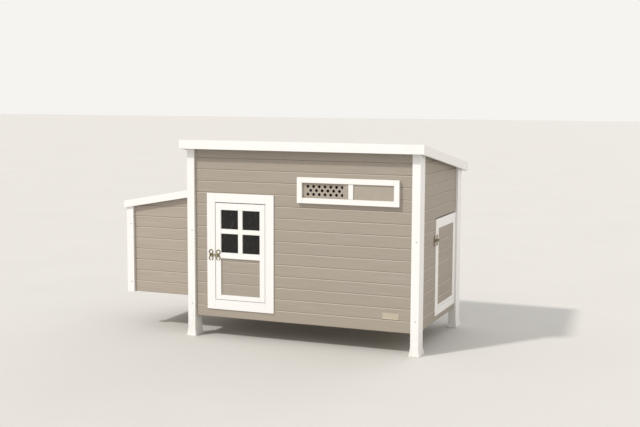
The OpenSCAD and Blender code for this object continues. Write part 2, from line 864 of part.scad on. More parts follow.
module vent_frame() {
    r = vent_l + vent_w;
    top = vent_z + vent_h;
    color(white) {
        block([vent_l, vent_y, vent_z], [vent_in_l - seam, wall_f, top]);
        block([r - vent_rim + seam, vent_y, vent_z], [r, wall_f, top]);
        difference() {
            for (z = [vent_z, top - vent_rim])
                block([vent_in_l, vent_y, z], [vent_in_l + vent_in_w, wall_f, z + vent_rim]);
            block([vent_l, shutter_y - run_play, vent_in_z - run_depth],
                [r, shutter_y + shutter_t + run_play, vent_in_z + vent_in_h + run_depth]);
            block([vent_l, grille_y - seat, vent_in_z - run_depth],
                [r, grille_y + grille_t + seat, vent_in_z + vent_in_h + run_depth]);
        }
    }
}

module vent_grille() {
    z0 = vent_in_z - run_depth + seat;
    zm = vent_in_z + vent_in_h / 2;
    color(taupe) difference() {
        block([vent_in_l + seat, grille_y, z0],
            [vent_in_l + vent_in_w - seat, grille_y + grille_t, vent_in_z + vent_in_h + run_depth - seat]);
        for (row = [-1, 0, 1]) for (k = [0:vent_cols - 1])
            translate([hole_x + (k + (row == 0 ? 0.5 : 0)) * vent_pitch, grille_y - cut, zm + row * vent_row])
                rotate([-90, 0, 0]) cylinder(h = grille_t + 2 * cut, d = vent_hole);
    }
}

module vent_shutter() {
    color(taupe) block([shutter_x, shutter_y, vent_in_z - run_depth + run_play],
        [shutter_x + shutter_w, shutter_y + shutter_t, vent_in_z + vent_in_h + run_depth - run_play]);
}

module vent_shutter_pull() {
    color(white) block([shutter_x + pull_in, shutter_y - pull_t, vent_in_z + pull_space],
        [shutter_x + pull_in + pull_w, shutter_y, vent_in_z + vent_in_h - pull_space]);
}

// ---- nest box ----

// Nest post with its corner at y0, screwed through the face at screw_y
module nest_corner(y0, screw_y, out) {
    color(white) difference() {
        intersection() {
            block([x_n, y0, nest_z - nest_post_drop], [x_n + nest_post, y0 + nest_post, roof_front_z]);
            under_lid();
        }
        for (z = nest_screw_zs) translate([x_n + screw_in, screw_y, z]) rotate([-90 * out, 0, 0])
            translate([0, 0, -cut]) cylinder(h = screw_len + cut, d = screw_shank);
    }
}
module nest_post_front() { nest_corner(nest_f, nest_f, 1); }
module nest_post_rear() { nest_corner(nest_b - nest_post, nest_b, -1); }

module nest_boards_front() {
    color(taupe) intersection() {
        translate([0, nest_wall_f, 0]) courses(x_n + nest_post, wall_l, nest_z, roof_rear_z, nest_z);
        under_lid();
    }
}
module nest_boards_rear() {
    color(taupe) intersection() {
        translate([wall_l, nest_wall_b, 0]) rotate([0, 0, 180])
            courses(0, wall_l - x_n - nest_post, nest_z, roof_rear_z, nest_z);
        under_lid();
    }
}
module nest_boards_end() {
    color(taupe) intersection() {
        translate([nest_wall_l, nest_b - nest_post, 0]) rotate([0, 0, -90])
            courses(0, nest_d - 2 * nest_post, nest_z, roof_rear_z, nest_z);
        under_lid();
    }
}

module nest_floor() {
    x0 = nest_wall_l + board_t + seat;
    color(cream) translate([0, 0, nest_floor_z]) linear_extrude(floor_t) difference() {
        translate([x0, nest_wall_f + board_t + seat])
            square([wall_l - seat - x0, nest_wall_b - nest_wall_f - 2 * board_t - 2 * seat]);
        for (y = [nest_f, nest_b - nest_post])
            translate([x_n - seat, y - seat]) square([nest_post + 2 * seat, nest_post + 2 * seat]);
    }
}

module nest_divider() {
    color(cream) intersection() {
        block([nest_wall_l + board_t + seat, nest_mid - divider_t / 2, nest_floor_top],
            [wall_l - seat, nest_mid + divider_t / 2, roof_rear_z]);
        translate([0, 0, -divider_drop]) under_lid();
    }
}

// Sloped slab over the nest box, given by its drop below the lid's top at its top and bottom
module lid_slab(x0, x1, y0, y1, top, bottom) {
    translate([0, y1, 0]) rotate([90, 0, 0]) linear_extrude(y1 - y0)
        polygon([[x0, lid_high(x0) - bottom], [x1, lid_high(x1) - bottom],
            [x1, lid_high(x1) - top], [x0, lid_high(x0) - top]]);
}
module nest_lid_panel() {
    color(white) lid_slab(lid_l + lid_edge_t + seat, lid_x, lid_f + lid_edge_t + seat,
        lid_b - lid_edge_t - seat, 0, lid_v);
}
module nest_lid_edging() {
    color(white) {
        lid_slab(lid_l, lid_x, lid_f, lid_f + lid_edge_t, 0, lid_edge_h);
        lid_slab(lid_l, lid_x, lid_b - lid_edge_t, lid_b, 0, lid_edge_h);
        lid_slab(lid_l, lid_l + lid_edge_t, lid_f + lid_edge_t + seat, lid_b - lid_edge_t - seat,
            0, lid_edge_h);
    }
}

// Ends along Y of one knuckle, a span of the hinge centred on y
function knuckle_start(y, span) = y - hinge_w / 2 + span[0] * hinge_w + knuckle_play;
function knuckle_end(y, span) = y - hinge_w / 2 + span[1] * hinge_w - knuckle_play;
module knuckle(y, span) {
    translate([lid_x, knuckle_start(y, span), hinge_z]) rotate([-90, 0, 0])
        cylinder(h = knuckle_end(y, span) - knuckle_start(y, span), r = knuckle_r);
}

// Flaps screwed to the cabin wall, with the pins riveted in their knuckles
module nest_hinge_wall_flaps() {
    color(steel) for (y = hinge_spots) {
        block([wall_l - flap_t, y - hinge_w / 2, flap_z], [wall_l, y + hinge_w / 2, hinge_z + hinge_flap]);
        for (s = wall_knuckles) {
            knuckle(y, s);
            block([lid_x, knuckle_start(y, s), hinge_z + knuckle_r - flap_t],
                [wall_l, knuckle_end(y, s), hinge_z + knuckle_r]);
            block([wall_l - flap_t, knuckle_start(y, s), hinge_z + knuckle_r - flap_t],
                [wall_l, knuckle_end(y, s), flap_z + seam]);
        }
        translate([lid_x, y - hinge_w / 2, hinge_z]) rotate([-90, 0, 0]) cylinder(h = hinge_w, r = lid_pin_r);
    }
}

// Flap on the lid's slope between two X values and two Y values
module lid_flap(x0, x1, y0, y1) {
    translate([0, y1, 0]) rotate([90, 0, 0]) linear_extrude(y1 - y0)
        polygon([[x0, lid_high(x0)], [x1, lid_high(x1)],
            [x1, lid_high(x1) + flap_t], [x0, lid_high(x0) + flap_t]]);
}

// Flaps screwed to the lid, with knuckles that turn on the pins
module nest_hinge_lid_flaps() {
    inner = lid_x - knuckle_r - flap_bend;
    color(steel) for (y = hinge_spots) difference() {
        union() {
            lid_flap(lid_x - hinge_flap - 8, inner, y - hinge_w / 2, y + hinge_w / 2);
            for (s = lid_knuckles) {
                lid_flap(inner - 1, lid_x, knuckle_start(y, s), knuckle_end(y, s));
                knuckle(y, s);
            }
        }
        translate([lid_x, y - hinge_w / 2, hinge_z]) rotate([-90, 0, 0])
            cylinder(h = hinge_w, r = lid_pin_r + pin_play);
    }
}

// ---- inside, plate and screws ----

module roost_bars() {
    color(cream) for (x = roost_xs)
        block([x - roost_w / 2, roost_y0 + cup_t + seat, roost_z],
            [x + roost_w / 2, roost_y1 - cup_t - seat, roost_z + roost_h]);
}
module roost_cups() {
    color(white) for (x = roost_xs) for (side = [0, 1]) {
        y0 = side == 0 ? roost_y0 : roost_y1 - cup_l;
        in0 = side == 0 ? y0 + cup_t : y0 - cut;
        in1 = side == 0 ? y0 + cup_l + cut : y0 + cup_l - cup_t;
        difference() {
            block([x - roost_w / 2 - cup_t, y0, roost_z - cup_t],
                [x + roost_w / 2 + cup_t, y0 + cup_l, roost_z + roost_h]);
            block([x - roost_w / 2 - seat, in0, roost_z - seat],
                [x + roost_w / 2 + seat, in1, roost_z + roost_h + cut]);
        }
    }
}

module blank_plate() {
    x0 = vent_r - badge_w;
    z0 = wall_bottom + badge_up;
    color(white) difference() {
        block([x0, wall_f - badge_t, z0], [vent_r, wall_f, z0 + badge_h]);
        block([x0 + badge_rim, wall_f - badge_t - cut, z0 + badge_rim],
            [vent_r - badge_rim, wall_f - badge_t + badge_sunk, z0 + badge_h - badge_rim]);
    }
}

// A button-headed screw whose head seats on a face at y, pointing into +Y for out = 1
module frame_screw(x, y, z, out) {
    translate([x, y, z]) rotate([-90 * out, 0, 0]) {
        translate([0, 0, -screw_head]) cylinder(h = screw_head, d = screw_d);
        cylinder(h = screw_len - 1, d = screw_shank);
    }
}
module frame_screws() {
    color(steel) {
        for (z = screw_zs) for (x = [x_l + screw_in, right_screw_x]) {
            frame_screw(x, y_f, z, 1);
            frame_screw(x, y_b, z, -1);
        }
        for (z = nest_screw_zs) {
            frame_screw(x_n + screw_in, nest_f, z, 1);
            frame_screw(x_n + screw_in, nest_b, z, -1);
        }
    }
}

post_front_left();
post_front_right();
post_rear_left();
post_rear_right();
foot_front_left();
foot_front_right();
foot_rear_left();
foot_rear_right();
front_boards();
rear_boards();
right_boards();
left_boards();
sill_rail_front();
sill_rail_rear();
sill_rail_left();
sill_rail_right();
top_rails();
floor_panel();
floor_bearers();
roof_rafters();
roof_boards();
roof_fascia_front();
roof_fascia_rear();
roof_fascia_left();
roof_fascia_right();
front_door_casing();
front_door_frame();
front_door_window_bars();
front_door_panes();
front_door_boards();
front_door_pins();
front_latch_keeper();
front_latch_plate();
front_latch_arm();
side_door_pivot_blocks();
side_door_frame();
side_door_boards();
side_door_pins();
side_latch_keeper();
side_latch_plate();
side_latch_arm();
vent_frame();
vent_grille();
vent_shutter();
vent_shutter_pull();
nest_post_front();
nest_post_rear();
nest_boards_front();
nest_boards_rear();
nest_boards_end();
nest_floor();
nest_divider();
nest_lid_panel();
nest_lid_edging();
nest_hinge_wall_flaps();
nest_hinge_lid_flaps();
roost_bars();
roost_cups();
blank_plate();
frame_screws();
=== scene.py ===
"""Finish of a raised composite-board chicken coop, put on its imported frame."""

import math

import bmesh
import bpy
from mathutils import Matrix, Vector


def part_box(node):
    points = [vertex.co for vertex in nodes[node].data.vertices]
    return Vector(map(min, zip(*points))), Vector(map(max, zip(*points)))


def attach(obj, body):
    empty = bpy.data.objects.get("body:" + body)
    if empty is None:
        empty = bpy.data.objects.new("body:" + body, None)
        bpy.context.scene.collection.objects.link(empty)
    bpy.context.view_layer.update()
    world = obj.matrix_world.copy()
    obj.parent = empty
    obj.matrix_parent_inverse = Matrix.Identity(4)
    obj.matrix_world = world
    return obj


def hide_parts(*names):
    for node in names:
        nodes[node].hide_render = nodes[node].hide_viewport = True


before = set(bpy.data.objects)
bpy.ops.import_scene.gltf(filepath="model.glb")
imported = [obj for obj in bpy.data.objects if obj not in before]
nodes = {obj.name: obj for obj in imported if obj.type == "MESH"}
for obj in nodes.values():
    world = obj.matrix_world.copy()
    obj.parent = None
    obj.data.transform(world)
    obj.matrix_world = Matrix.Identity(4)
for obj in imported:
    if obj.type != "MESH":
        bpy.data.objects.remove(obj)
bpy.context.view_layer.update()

MM = 0.001

# boards: the height that each covers, its bevelled edge, and where the lowest one starts
BOARD_PITCH = 67 * MM
LIP = 3.4 * MM
CABIN_BOARDS_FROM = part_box("front_boards")[0].z
NEST_BOARDS_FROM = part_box("nest_boards_front")[0].z
# more boards than stand over each other on any wall
MOST_BOARDS = 20.0

# board skins: light and dark streaks, and a warmer cloud; the nest skin is painted paler, as
# painted light, because the nest box is out of the eaves' shade
CABIN_SKIN = ("a39b90", "938a80", "9f9485")
NEST_SKIN_PAINTED_LIGHTER = ("aca296", "9c9187", "a89b8b")
# painted highlight on each board's upward top edge, and painted shade on each board's downward
# lower edge
PAINTED_LIP_HIGHLIGHT = "ccc4b8"
GROOVE_PAINTED_SHADE = "665a4c"

# trim skins: light and dark lines, and a cloud; rain leaves a film on the roof and the nest lid
CLEAN_TRIM = ("e9e9e9", "e4e4e3", "e6e4df")
WEATHERED_TRIM = ("d6d6d4", "cfcfcc", "c6c4bd")
SOIL = "9c8e76"

# triangles' corners nearer than this are one corner, and corners nearer than AT_END to the
# end of a box are at that end
JOIN_WITHIN = 0.01 * MM
AT_END = 0.1 * MM

# edges that turn more than this are rounded, and those that then still turn more than
# SHARP_TURN are shaded sharp
ROUNDED_TURN = math.radians(35)
SHARP_TURN = math.radians(30)
ROUNDING_STEPS = 2

# screws: head radius and height
FRAME_SCREW = (5.0 * MM, 2.0 * MM)
PLATE_SCREW = (2.3 * MM, 1.1 * MM)
HINGE_SCREW = (3.4 * MM, 1.3 * MM)
ROOF_SCREW = (4.2 * MM, 0.8 * MM)
SCREW_SIDES = 24
SCREW_LOBES = 6

# latch plates: thickness, and how far from the middle the screws stand, across and up
PLATE_T = 2 * MM
PLATE_ACROSS = 11.7 * MM
PLATE_UP = 18.5 * MM

# hinge flaps: thickness, screws along a flap as shares of its length, and how far they stand
# in from the lid flap's outer edge and down from the wall flap's top
FLAP_T = 2 * MM
FLAP_SHARES = (0.2, 0.5, 0.8)
LID_FLAP_IN = 12 * MM
WALL_FLAP_DOWN = 11 * MM

# screws across a roof board, as shares of its width
ROOF_SHARES = (0.3, 0.7)


# ---- colours and material nodes ----


def srgb(code):
    """Linear colour, with alpha, of an sRGB hex value such as b0a392."""
    parts = [int(code[i : i + 2], 16) / 255 for i in (0, 2, 4)]
    linear = [c / 12.92 if c <= 0.04045 else ((c + 0.055) / 1.055) ** 2.4 for c in parts]
    return (*linear, 1.0)


def add(tree, kind, settings=None, links=None):
    """Adds a shader node; settings are its properties and socket values, links feed its sockets."""
    made = tree.nodes.new("ShaderNode" + kind)
    for name, value in (settings or {}).items():
        if name in made.inputs:
            made.inputs[name].default_value = value
        else:
            setattr(made, name, value)
    for name, source in (links or {}).items():
        tree.links.new(source, made.inputs[name])
    return made


def finish_of(name, settings):
    """An empty material with a shader of those settings; returns it, its tree, shader and place."""
    made = bpy.data.materials.new(name)
    made.use_nodes = True
    tree = made.node_tree
    tree.nodes.clear()
    shader = add(tree, "BsdfPrincipled", settings)
    add(tree, "OutputMaterial", links={"Surface": shader.outputs["BSDF"]})
    place = add(tree, "TexCoord").outputs["Object"]
    return made, tree, shader, place


def noise(tree, place, size, detail=3.0, roughness=0.55):
    """Noise whose features have that size in metres along each axis."""
    scale = [1 / length for length in size]
    spread = add(tree, "Mapping", {"Scale": scale}, {"Vector": place}).outputs["Vector"]
    settings = {"Scale": 1.0, "Detail": detail, "Roughness": roughness}
    return add(tree, "TexNoise", settings, {"Vector": spread}).outputs["Fac"]


def between(tree, value, low, high, to_low=0.0, to_high=1.0):
    """value, as it goes from low to high, turned into to_low to to_high and held there."""
    settings = {"From Min": low, "From Max": high, "To Min": to_low, "To Max": to_high}
    return add(tree, "MapRange", settings, {"Value": value}).outputs["Result"]


def times(tree, one, other):
    """Product of two values; other may be a number."""
    made = add(tree, "Math", {"operation": "MULTIPLY"}, {0: one})
    if isinstance(other, float):
        made.inputs[1].default_value = other
    else:
        tree.links.new(other, made.inputs[1])
    return made.outputs["Value"]


def mixed(tree, share, first, second):
    """Colour that goes from first to second with share; each may be a hex value or a socket."""
    made = add(tree, "MixRGB", links={"Fac": share})
    for name, colour in (("Color1", first), ("Color2", second)):
        if isinstance(colour, str):
            made.inputs[name].default_value = srgb(colour)
        else:
            tree.links.new(colour, made.inputs[name])
    return made.outputs["Color"]


def relief(tree, shader, height, depth, strength=1.0):
    """Bump of that depth in metres on the shader."""
    settings = {"Strength": strength, "Distance": depth}
    bump = add(tree, "Bump", settings, {"Height": height})
    tree.links.new(bump.outputs["Normal"], shader.inputs["Normal"])


def near_ground(tree, place, reach):
    """From one at the ground to nothing at that height, broken up by splashes 30 mm across."""
    height = add(tree, "SeparateXYZ", links={"Vector": place}).outputs["Z"]
    fade = between(tree, height, 0.0, reach, 1.0, 0.0)
    splashes = between(tree, noise(tree, place, [30 * MM] * 3, 5.0, 0.7), 0.4, 0.7)
    return times(tree, fade, splashes)


# ---- materials ----


def composite_board(name, first_board, skin):
    """Wood-plastic composite, extruded and brushed, with a taupe skin.

    The eye gets a matt surface with fine lengthwise streaks, boards a shade apart, a painted
    highlight on the edge under each groove, painted shade on the edge over it, and a little soil
    low down.
    """
    light, dark, warm = skin
    made, tree, shader, place = finish_of(name, {"IOR": 1.5, "Roughness": 0.62})
    # real streaks are 0.5 mm wide; drawn 3 mm wide so that they show
    streaks = noise(tree, place, [220 * MM, 220 * MM, 3 * MM], 4.0, 0.6)
    brushed = noise(tree, place, [60 * MM, 60 * MM, 1 * MM], 2.0, 0.5)
    colour = mixed(tree, between(tree, streaks, 0.32, 0.68), dark, light)
    clouds = noise(tree, place, [300 * MM, 300 * MM, 90 * MM], 2.0, 0.5)
    colour = mixed(tree, between(tree, clouds, 0.35, 0.7, 0.0, 0.35), colour, warm)
    # each board has its own shade
    height = add(tree, "SeparateXYZ", links={"Vector": place}).outputs["Z"]
    top = first_board + BOARD_PITCH * MOST_BOARDS
    course = between(tree, height, first_board, top, 0.0, MOST_BOARDS)
    number = add(tree, "Math", {"operation": "FLOOR"}, {0: course}).outputs["Value"]
    chance = add(tree, "TexWhiteNoise", {"noise_dimensions": "1D"}, {"W": number})
    shade = between(tree, chance.outputs["Value"], 0.0, 1.0, 0.0, 0.22)
    colour = mixed(tree, shade, colour, dark)
    # a painted highlight on the upward edge under each groove, and painted shade on the downward
    # edge over it
    up_board = add(tree, "Math", {"operation": "FRACT"}, {0: course}).outputs["Value"]
    lip = LIP / BOARD_PITCH
    rubbing_and_painted_lip_highlight = between(tree, up_board, 1 - lip, 1 - 0.7 * lip)
    colour = mixed(tree, times(tree, rubbing_and_painted_lip_highlight, 0.75), colour, PAINTED_LIP_HIGHLIGHT)
    painted_groove_shade = between(tree, up_board, 0.0, lip, 0.8, 0.0)
    colour = mixed(tree, painted_groove_shade, colour, GROOVE_PAINTED_SHADE)
    colour = mixed(tree, times(tree, near_ground(tree, place, 330 * MM), 0.18), colour, SOIL)
    tree.links.new(colour, shader.inputs["Base Color"])
    tree.links.new(between(tree, streaks, 0.3, 0.7, 0.56, 0.70), shader.inputs["Roughness"])
    relief(tree, shader, brushed, 0.25 * MM, 0.5)
    return made


def white_trim(name, along, skin):
    """Wood-plastic composite, extruded, with a smooth white skin.

    The eye gets a clean satin white with faint draw lines along the length (a fine speckle
    where a piece is framed up from boards that run both ways), a slight cream cloudiness,
    and soil splashed on near the ground. On the roof and the lid the skin is greyer, where
    rain leaves a film.
    """
    light, dark, cloud = skin
    made, tree, shader, place = finish_of(name, {"IOR": 1.5, "Roughness": 0.48})
    # real draw lines are 0.3 mm apart; drawn 2.5 mm so that they show
    length, width = 260 * MM, 2.5 * MM
    size = {"x": [length, width, width], "y": [width, length, width], "z": [width, width, length]}
    lines = noise(tree, place, size.get(along, [3 * MM] * 3), 2.0, 0.5)
    colour = mixed(tree, between(tree, lines, 0.3, 0.7), dark, light)
    clouds = noise(tree, place, [160 * MM] * 3, 3.0, 0.6)
    colour = mixed(tree, between(tree, clouds, 0.45, 0.75, 0.0, 0.6), colour, cloud)
    colour = mixed(tree, times(tree, near_ground(tree, place, 150 * MM), 0.22), colour, SOIL)
    tree.links.new(colour, shader.inputs["Base Color"])
    tree.links.new(between(tree, lines, 0.3, 0.7, 0.42, 0.55), shader.inputs["Roughness"])
    relief(tree, shader, lines, 0.12 * MM, 0.35)
    return made


def raw_composite(name):
    """Wood-plastic composite with no skin, as sawn.

    The eye gets a dry beige with pale and dark flecks of wood flour.
    """
    made, tree, shader, place = finish_of(name, {"IOR": 1.5, "Roughness": 0.78})
    flecks = noise(tree, place, [9 * MM, 9 * MM, 3 * MM], 4.0, 0.7)
    colour = mixed(tree, between(tree, flecks, 0.35, 0.68), "8f8068", "c2b59b")
    tree.links.new(colour, shader.inputs["Base Color"])
    relief(tree, shader, flecks, 0.2 * MM, 0.4)
    return made


def moulded_plastic(name, light, dark, soil):
    """Polypropylene, injection moulded in a spark-eroded tool.

    The eye gets an even colour with a fine matt grain; soil clings low on the feet.
    """
    made, tree, shader, place = finish_of(name, {"IOR": 1.49, "Roughness": 0.5})
    # the real grain is 0.15 mm; drawn 1.2 mm so that it shows
    grain = noise(tree, place, [1.2 * MM] * 3, 2.0, 0.5)
    clouds = noise(tree, place, [45 * MM] * 3, 3.0, 0.6)
    colour = mixed(tree, between(tree, clouds, 0.35, 0.7), light, dark)
    colour = mixed(tree, times(tree, near_ground(tree, place, 45 * MM), soil), colour, SOIL)
    tree.links.new(colour, shader.inputs["Base Color"])
    tree.links.new(between(tree, grain, 0.3, 0.7, 0.44, 0.58), shader.inputs["Roughness"])
    relief(tree, shader, grain, 0.08 * MM, 0.4)
    return made


def acrylic_painted_dark(name):
    """Acrylic sheet, cast, tinted dark grey: painted shade standing in for the dark inside.

    The eye gets a dark clear pane with a sharp gloss, faint wiping marks in the gloss, and pale
    streaks painted on as a painted reflection.
    """
    gloss = {"Roughness": 0.04, "Specular IOR Level": 0.28}
    settings = {"IOR": 1.49, "Transmission Weight": 0.6, **gloss}
    made, tree, shader, place = finish_of(name, settings)
    turned = {"Rotation": (0.0, math.radians(62), 0.0)}
    slanted = add(tree, "Mapping", turned, {"Vector": place}).outputs["Vector"]
    wipe_marks_and_painted_reflection = noise(tree, slanted, [60 * MM, 60 * MM, 9 * MM], 3.0, 0.6)
    # dark tint as painted shade of the dark inside, with pale slanted streaks as a painted
    # reflection
    colour = mixed(tree, between(tree, wipe_marks_and_painted_reflection, 0.56, 0.75), "0f1011", "55585c")
    tree.links.new(colour, shader.inputs["Base Color"])
    tree.links.new(between(tree, wipe_marks_and_painted_reflection, 0.4, 0.75, 0.03, 0.16), shader.inputs["Roughness"])
    return made


def antique_brass(name):
    """Brass plate on pressed steel, darkened and rubbed back.

    The eye gets a warm pale metal with brown patina left in patches.
    """
    made, tree, shader, place = finish_of(name, {"Metallic": 1.0, "Roughness": 0.36})
    patina = noise(tree, place, [7 * MM] * 3, 4.0, 0.65)
    rubbing_and_painted_lip_highlight = noise(tree, place, [1.2 * MM, 1.2 * MM, 9 * MM], 2.0, 0.5)
    colour = mixed(tree, between(tree, patina, 0.38, 0.60), "b9ae8c", "4d4129")
    tree.links.new(colour, shader.inputs["Base Color"])
    tree.links.new(between(tree, patina, 0.35, 0.7, 0.30, 0.55), shader.inputs["Roughness"])
    relief(tree, shader, rubbing_and_painted_lip_highlight, 0.06 * MM, 0.35)
    return made


def zinc_plate(name):
    """Steel, zinc plated.

    The eye gets a cool grey metal, slightly cloudy, with dull grains.
    """
    made, tree, shader, place = finish_of(name, {"Metallic": 1.0, "Roughness": 0.4})
    grains = add(tree, "TexVoronoi", {"Scale": 1 / (3 * MM)}, {"Vector": place})
    share = between(tree, grains.outputs["Color"], 0.0, 1.0)
    tree.links.new(mixed(tree, share, "dededc", "c8c9c8"), shader.inputs["Base Color"])
    tree.links.new(between(tree, share, 0.0, 1.0, 0.34, 0.5), shader.inputs["Roughness"])
    return made


def brushed_aluminium(name):
    """Aluminium plate, brushed lengthwise and lacquered to a pewter colour.

    The eye gets a soft warm grey with fine level lines.
    """
    made, tree, shader, place = finish_of(name, {"Metallic": 1.0, "Roughness": 0.42})
    # real brushing is 0.1 mm fine; drawn 0.8 mm so that it shows
    lines = noise(tree, place, [40 * MM, 40 * MM, 0.8 * MM], 2.0, 0.5)
    colour = mixed(tree, between(tree, lines, 0.3, 0.7), "c2b8a5", "e0d7c6")
    tree.links.new(colour, shader.inputs["Base Color"])
    tree.links.new(between(tree, lines, 0.3, 0.7, 0.36, 0.5), shader.inputs["Roughness"])
    relief(tree, shader, lines, 0.04 * MM, 0.4)
    return made


cabin_board = composite_board("taupe_board_of_cabin", CABIN_BOARDS_FROM, CABIN_SKIN)
# the nest's boards are painted paler than the cabin's: painted light of the sun outside the eaves'
# shade
nest_board = composite_board("taupe_board_of_nest_painted_lighter", NEST_BOARDS_FROM, NEST_SKIN_PAINTED_LIGHTER)
trim_upright = white_trim("white_trim_upright", "z", CLEAN_TRIM)
trim_lengthwise = white_trim("white_trim_along_the_front", "x", CLEAN_TRIM)
trim_front_to_rear = white_trim("white_trim_front_to_rear", "y", CLEAN_TRIM)
trim_framed = white_trim("white_trim_framed", "both", CLEAN_TRIM)
roof_trim = white_trim("weathered_roof_board", "y", WEATHERED_TRIM)
lid_trim = white_trim("weathered_nest_lid", "x", WEATHERED_TRIM)
inside = raw_composite("raw_composite_inside")
foot_plastic = moulded_plastic("white_foot_moulding", "e4e4e3", "dfdedc", 0.45)
cup_plastic = moulded_plastic("white_small_moulding", "e7e7e6", "e2e2e0", 0.0)
vent_plastic = moulded_plastic("taupe_vent_sheet", "a29a8f", "9e958a", 0.0)
pane = acrylic_painted_dark("window_pane_painted_dark")
brass = antique_brass("antique_brass_latch")
zinc = zinc_plate("zinc_plated_steel")
aluminium = brushed_aluminium("brushed_aluminium_plate")

# ---- finish of the frame's own nodes: material, and how far its edges are rounded ----

FINISHES = [
    (cabin_board, 0.5 * MM, ["front_boards", "rear_boards", "right_boards", "left_boards"]),
    (cabin_board, 0.5 * MM, ["front_door_boards", "side_door_boards"]),
    (nest_board, 0.5 * MM, ["nest_boards_front", "nest_boards_rear", "nest_boards_end"]),
    (trim_upright, 1.6 * MM, ["post_front_left", "post_front_right"]),
    (trim_upright, 1.6 * MM, ["post_rear_left", "post_rear_right"]),
    (trim_upright, 1.6 * MM, ["nest_post_front", "nest_post_rear"]),
    (trim_lengthwise, 1.2 * MM, ["roof_fascia_front", "roof_fascia_rear"]),
    (trim_front_to_rear, 1.2 * MM, ["roof_fascia_left", "roof_fascia_right"]),
    (roof_trim, 0.4 * MM, ["roof_boards"]),
    (lid_trim, 0.8 * MM, ["nest_lid_panel"]),
    (trim_framed, 1.2 * MM, ["front_door_casing", "front_door_frame", "side_door_frame"]),
    (trim_framed, 1.0 * MM, ["front_door_window_bars", "vent_frame", "nest_lid_edging"]),
    (inside, 0.8 * MM, ["floor_panel", "floor_bearers", "roof_rafters", "top_rails"]),
    (inside, 0.8 * MM, ["sill_rail_front", "sill_rail_rear", "sill_rail_left"]),
    (inside, 0.8 * MM, ["sill_rail_right", "nest_floor", "nest_divider"]),
    (inside, 3.0 * MM, ["roost_bars"]),
    (foot_plastic, 1.2 * MM, ["foot_front_left", "foot_front_right"]),
    (foot_plastic, 1.2 * MM, ["foot_rear_left", "foot_rear_right"]),
    (cup_plastic, 0.8 * MM, ["vent_shutter_pull", "roost_cups"]),
    (vent_plastic, 0.3 * MM, ["vent_shutter", "vent_grille", "side_door_pivot_blocks"]),
    (pane, 0.3 * MM, ["front_door_panes"]),
    (brass, 0.4 * MM, ["front_latch_keeper", "front_latch_plate", "front_latch_arm"]),
    (brass, 0.4 * MM, ["side_latch_keeper", "side_latch_plate", "side_latch_arm"]),
    (zinc, 0.3 * MM, ["nest_hinge_wall_flaps", "nest_hinge_lid_flaps"]),
    (zinc, 0.3 * MM, ["front_door_pins", "side_door_pins"]),
    (aluminium, 0.4 * MM, ["blank_plate"]),
]


def smooth_faces():
    """Geometry nodes that shade smooth over every edge that turns less than a sharp one."""
    tree = bpy.data.node_groups.new("smooth_faces", "GeometryNodeTree")
    for way in ("INPUT", "OUTPUT"):
        tree.interface.new_socket("Geometry", in_out=way, socket_type="NodeSocketGeometry")
    start = tree.nodes.new("NodeGroupInput")
    faces = tree.nodes.new("GeometryNodeSetShadeSmooth")
    edges = tree.nodes.new("GeometryNodeSetShadeSmooth")
    edges.domain = "EDGE"
    edges.inputs["Shade Smooth"].default_value = False
    turn = tree.nodes.new("GeometryNodeInputMeshEdgeAngle")
    sharp = tree.nodes.new("FunctionNodeCompare")
    sharp.inputs["B"].default_value = SHARP_TURN
    end = tree.nodes.new("NodeGroupOutput")
    tree.links.new(start.outputs[0], faces.inputs["Geometry"])
    tree.links.new(faces.outputs["Geometry"], edges.inputs["Geometry"])
    tree.links.new(turn.outputs["Unsigned Angle"], sharp.inputs["A"])
    tree.links.new(sharp.outputs["Result"], edges.inputs["Selection"])
    tree.links.new(edges.outputs["Geometry"], end.inputs[0])
    return tree


SMOOTH_FACES = smooth_faces()


def dress(name, material, rounding):
    """Gives a node its material, joins its loose triangles, and rounds and shades its edges."""
    piece = nodes[name]
    if not piece.material_slots:
        piece.data.materials.append(material)
    for place in piece.material_slots:
        place.material = material
    weld = piece.modifiers.new("join", "WELD")
    weld.merge_threshold = JOIN_WITHIN
    bevel = piece.modifiers.new("round", "BEVEL")
    bevel.width = rounding
    bevel.segments = ROUNDING_STEPS
    bevel.limit_method = "ANGLE"
    bevel.angle_limit = ROUNDED_TURN
    bevel.use_clamp_overlap = True
    smooth = piece.modifiers.new("smooth", "NODES")
    smooth.node_group = SMOOTH_FACES
    # large faces stay flat, and only their rounded edges turn
    flat = piece.modifiers.new("flat", "WEIGHTED_NORMAL")
    flat.mode = "FACE_AREA"
    flat.weight = 50
    flat.keep_sharp = True


for material, rounding, names in FINISHES:
    for name in names:
        dress(name, material, rounding)


# ---- small pieces made here ----


def islands(name):
    """Boxes of a node's separate solids, each as lowest and highest corner."""
    joined = bmesh.new()
    joined.from_mesh(nodes[name].data)
    bmesh.ops.remove_doubles(joined, verts=joined.verts, dist=JOIN_WITHIN)
    left = set(joined.verts)
    found = []
    while left:
        reached = [left.pop()]
        for vert in reached:
            near = {edge.other_vert(vert) for edge in vert.link_edges} & left
            left -= near
            reached.extend(near)
        corners = [vert.co for vert in reached]
        low = Vector([min(c[i] for c in corners) for i in range(3)])
        high = Vector([max(c[i] for c in corners) for i in range(3)])
        found.append((low, high))
    joined.free()
    return sorted(found, key=lambda box: tuple(round(v, 5) for v in box[0]))


